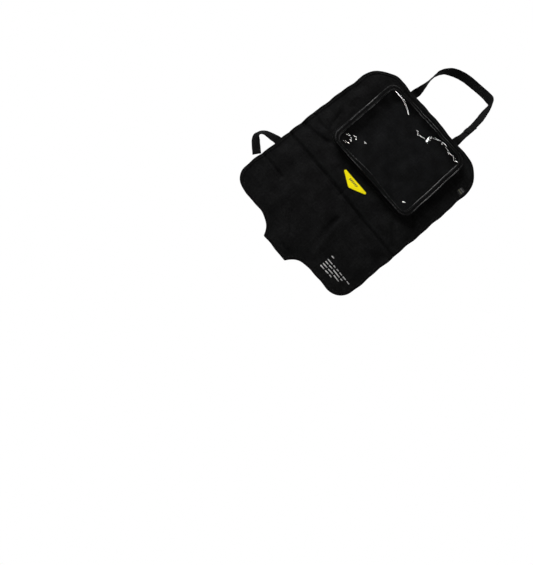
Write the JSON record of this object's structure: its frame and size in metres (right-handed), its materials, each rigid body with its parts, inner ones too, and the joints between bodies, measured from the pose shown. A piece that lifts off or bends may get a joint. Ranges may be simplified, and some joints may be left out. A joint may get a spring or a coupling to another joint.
{
  "type": "car seat-back kick mat",
  "caption": "Soft black seat-back protector mat with a bottom tab, a clear-window tablet pocket, a headrest strap loop and side straps.",
  "frame": {"origin": "middle of the back lining, halfway between the side edges and between the top and bottom edges", "axes": "+Z out of the front face, +Y towards the headrest strap, +X to the right as the front is looked at"},
  "size_m": [0.5044, 0.7834, 0.0255],
  "materials": {
    "polyester": "plain-woven 600 denier polyester, coated, low sheen",
    "lining": "thin woven lining, matt",
    "foam": "open-cell foam interlining",
    "binding_tape": "ribbed grosgrain binding tape",
    "webbing": "ribbed polypropylene webbing",
    "hook_tape": "moulded hook tape",
    "loop_tape": "brushed loop tape",
    "clear_film": "clear soft vinyl film, glossy",
    "yellow_rubber": "moulded soft rubber, satin",
    "woven_tag": "woven satin tag",
    "print_ink": "thin transfer print, matt"
  },
  "bodies": {
    "upper_panel": {"front_panel_upper": "polyester", "foam_upper": "foam", "back_lining_upper": "lining", "binding_upper": "binding_tape", "pocket_gusset": "polyester", "window_film": "clear_film", "window_frame": "polyester", "pocket_piping": "binding_tape", "panel_loop_tape": "loop_tape", "rubber_label": "yellow_rubber", "side_tag": "woven_tag", "headrest_root_left": "webbing", "headrest_root_right": "webbing"},
    "lower_panel": {"front_panel_lower": "polyester", "foam_lower": "foam", "back_lining_lower": "lining", "binding_lower": "binding_tape", "care_print": "print_ink", "left_strap_root": "webbing", "right_strap_root": "webbing"},
    "pocket_closure": {"closure_flap": "webbing", "flap_hook_tape": "hook_tape"},
    "headrest_loop": {"headrest_strap": "webbing"},
    "headrest_loop_end": {"headrest_strap_end": "webbing", "strap_hook_patch": "hook_tape"},
    "anchor": {"anchor_strap": "webbing", "anchor_loop_patch": "loop_tape"},
    "left_strap": {"left_side_strap": "webbing", "left_strap_hook": "hook_tape"},
    "right_strap": {"right_side_strap": "webbing", "right_strap_loop": "loop_tape"}
  },
  "joints": [
    {"name": "panel_fold", "type": "hinge", "parent": "upper_panel", "child": "lower_panel", "pos_m": [0, -0.076, 0.0058], "axis": [-1, 0, 0], "range_deg": [0, 140]},
    {"name": "closure_flap_lift", "type": "hinge", "parent": "upper_panel", "child": "pocket_closure", "pos_m": [0.008, 0.2506, 0.0228], "axis": [1, 0, 0], "range_deg": [0, 150]},
    {"name": "headrest_loop_tilt", "type": "hinge", "parent": "upper_panel", "child": "headrest_loop", "pos_m": [-0.091, 0.2806, -0.00065], "axis": [1, 0, 0], "range_deg": [-90, 90]},
    {"name": "anchor_tilt", "type": "hinge", "parent": "upper_panel", "child": "anchor", "pos_m": [0.091, 0.2806, -0.00065], "axis": [1, 0, 0], "range_deg": [-90, 90]},
    {"name": "loop_end_peel", "type": "hinge", "parent": "headrest_loop", "child": "headrest_loop_end", "pos_m": [0.07389, 0.43169, 0.0019], "axis": [-0.9869, -0.1613, 0], "range_deg": [0, 100]},
    {"name": "left_strap_swing", "type": "hinge", "parent": "lower_panel", "child": "left_strap", "pos_m": [-0.2276, -0.113, -0.00065], "axis": [0, 1, 0], "range_deg": [-90, 90]},
    {"name": "right_strap_swing", "type": "hinge", "parent": "lower_panel", "child": "right_strap", "pos_m": [0.204, -0.113, -0.0013], "axis": [0, -1, 0], "range_deg": [0, 180]}
  ],
  "couplings": [
    {"joint": "anchor_tilt", "follows": "headrest_loop_tilt", "ratio": 1}
  ]
}
